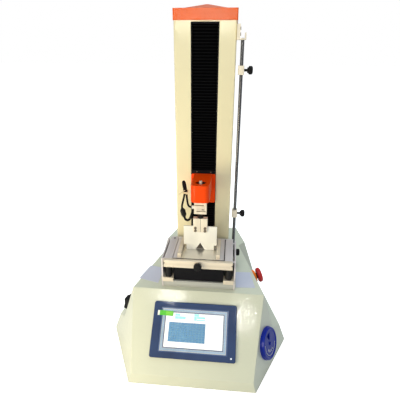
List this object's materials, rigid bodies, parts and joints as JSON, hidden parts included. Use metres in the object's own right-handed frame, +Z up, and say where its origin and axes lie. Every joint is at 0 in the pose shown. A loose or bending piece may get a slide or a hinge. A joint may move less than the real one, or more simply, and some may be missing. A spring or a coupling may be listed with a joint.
{
  "type": "meat tenderness tester",
  "caption": "Bench shear-force tester: faceted console, tall column with bellows, notched shear blade on a load cell, slotted sample table, limit rod and touch panel.",
  "frame": {"origin": "on the bench, under the middle of the column's front face", "axes": "+X to the operator's right, +Y to the back, +Z up"},
  "size_m": [0.4618, 0.5292, 0.816],
  "materials": {
    "ivory_powder_coat": "glossy, fine orange peel",
    "orange_paint": "satin",
    "anodised_aluminium": "satin",
    "polished_steel": "ground and polished",
    "plated_steel": "matt",
    "dark_steel": "satin",
    "chrome_rod": "polished",
    "black_metal": "matt",
    "bellows_cloth": "coated cloth",
    "bronze": "machined",
    "black_plastic": "fine grain",
    "black_rubber": "matt",
    "white_plastic": "satin",
    "beige_plastic": "satin",
    "slate_plastic": "satin",
    "screen": "glossy",
    "yellow_plastic": "satin",
    "red_plastic": "satin",
    "blue_plastic": "glossy"
  },
  "bodies": {
    "frame": {"base_shell": "ivory_powder_coat", "base_floor": "plated_steel", "feet": "black_rubber", "column_shell": "ivory_powder_coat", "column_back_cover": "ivory_powder_coat", "column_cap": "orange_paint", "bellows_frame": "black_metal", "bellows_upper": "bellows_cloth", "bellows_lower": "bellows_cloth", "lower_plate": "anodised_aluminium", "plate_tabs": "anodised_aluminium", "side_plates": "anodised_aluminium", "table_posts": "dark_steel", "catch_tray": "black_metal", "table_frame": "anodised_aluminium", "table_bar": "anodised_aluminium", "shear_insert": "anodised_aluminium", "slot_plates": "polished_steel", "guide_rails": "anodised_aluminium", "limit_rod": "chrome_rod", "rod_bracket": "anodised_aluminium", "housing_screws": "dark_steel", "panel_bezel": "slate_plastic", "panel_screen": "screen", "stop_collar": "yellow_plastic", "switch_frame": "black_plastic", "mains_inlet": "black_plastic", "dial_plate": "blue_plastic", "drive_motor": "black_metal", "bearing_plates": "anodised_aluminium", "guide_rods": "chrome_rod"},
    "crosshead": {"crosshead_carriage": "anodised_aluminium", "drive_nut": "bronze", "crosshead_flange": "orange_paint", "bellows_end_bar": "black_metal", "crosshead_cover": "orange_paint", "crosshead_arm": "anodised_aluminium", "load_bolt": "polished_steel", "load_cell": "anodised_aluminium", "cell_boot": "white_plastic", "load_stud": "polished_steel", "blade_holder": "anodised_aluminium", "holder_screws": "dark_steel", "shear_blade": "polished_steel", "cell_lead": "black_rubber", "plug_lead": "black_rubber", "lead_plug": "black_plastic", "cable_tie": "beige_plastic"},
    "lead_screw": {"lead_screw": "polished_steel"},
    "bar_knob": {"bar_knob": "black_plastic"},
    "upper_stop": {"upper_stop": "anodised_aluminium"},
    "upper_stop_knob": {"upper_stop_knob": "black_plastic"},
    "lower_stop": {"lower_stop": "anodised_aluminium"},
    "lower_stop_knob": {"lower_stop_knob": "black_plastic"},
    "foot_stop": {"foot_stop": "black_metal"},
    "foot_stop_knob": {"foot_stop_knob": "black_plastic"},
    "stop_stem": {"stop_stem": "dark_steel"},
    "stop_mushroom": {"stop_mushroom": "red_plastic"},
    "switch_rocker": {"switch_rocker": "black_plastic"},
    "status_dial": {"status_dial": "blue_plastic"}
  },
  "joints": [
    {"name": "crosshead_slide", "type": "slide", "parent": "frame", "child": "crosshead", "axis": [0, 0, 1], "range_m": [-0.022, 0.3], "deforming": ["bellows_upper", "bellows_lower"]},
    {"name": "lead_screw_turn", "type": "hinge", "parent": "frame", "child": "lead_screw", "pos_m": [0, 0.06, 0], "axis": [0, 0, 1], "continuous": true},
    {"name": "bar_knob_turn", "type": "hinge", "parent": "frame", "child": "bar_knob", "pos_m": [0, -0.144, 0.235], "axis": [0, -1, 0], "continuous": true},
    {"name": "upper_stop_slide", "type": "slide", "parent": "frame", "child": "upper_stop", "axis": [0, 0, 1], "range_m": [-0.15, 0.05]},
    {"name": "upper_stop_knob_turn", "type": "hinge", "parent": "upper_stop", "child": "upper_stop_knob", "pos_m": [0.1, 0.005, 0.674], "axis": [1, 0, 0], "continuous": true},
    {"name": "lower_stop_slide", "type": "slide", "parent": "frame", "child": "lower_stop", "axis": [0, 0, 1], "range_m": [-0.08, 0.12]},
    {"name": "lower_stop_knob_turn", "type": "hinge", "parent": "lower_stop", "child": "lower_stop_knob", "pos_m": [0.1, 0.005, 0.312], "axis": [1, 0, 0], "continuous": true},
    {"name": "foot_stop_slide", "type": "slide", "parent": "frame", "child": "foot_stop", "axis": [0, 0, 1], "range_m": [-0.01, 0.018]},
    {"name": "foot_stop_knob_turn", "type": "hinge", "parent": "foot_stop", "child": "foot_stop_knob", "pos_m": [0.1, 0.005, 0.191], "axis": [1, 0, 0], "continuous": true},
    {"name": "stop_press", "type": "slide", "parent": "frame", "child": "stop_stem", "axis": [0.9343, 0.2287, 0.2734], "range_m": [-0.0037, 0]},
    {"name": "stop_twist", "type": "hinge", "parent": "stop_stem", "child": "stop_mushroom", "pos_m": [0.14239, -0.03056, 0.136], "axis": [0.9343, 0.2287, 0.2734], "range_deg": [-45, 0], "stiffness_Nm_per_rad": 0.05},
    {"name": "switch_rock", "type": "hinge", "parent": "frame", "child": "switch_rocker", "pos_m": [-0.18821, -0.12435, 0.10178], "axis": [-0.2378, -0.9713, 0], "range_deg": [-18, 0]},
    {"name": "status_dial_turn", "type": "hinge", "parent": "frame", "child": "status_dial", "pos_m": [0.17347, -0.19502, 0.05995], "axis": [0.8628, -0.419, 0.2829], "continuous": true}
  ],
  "couplings": [
    {"joint": "lead_screw_turn", "follows": "crosshead_slide", "rad_per_m": 628.32}
  ]
}
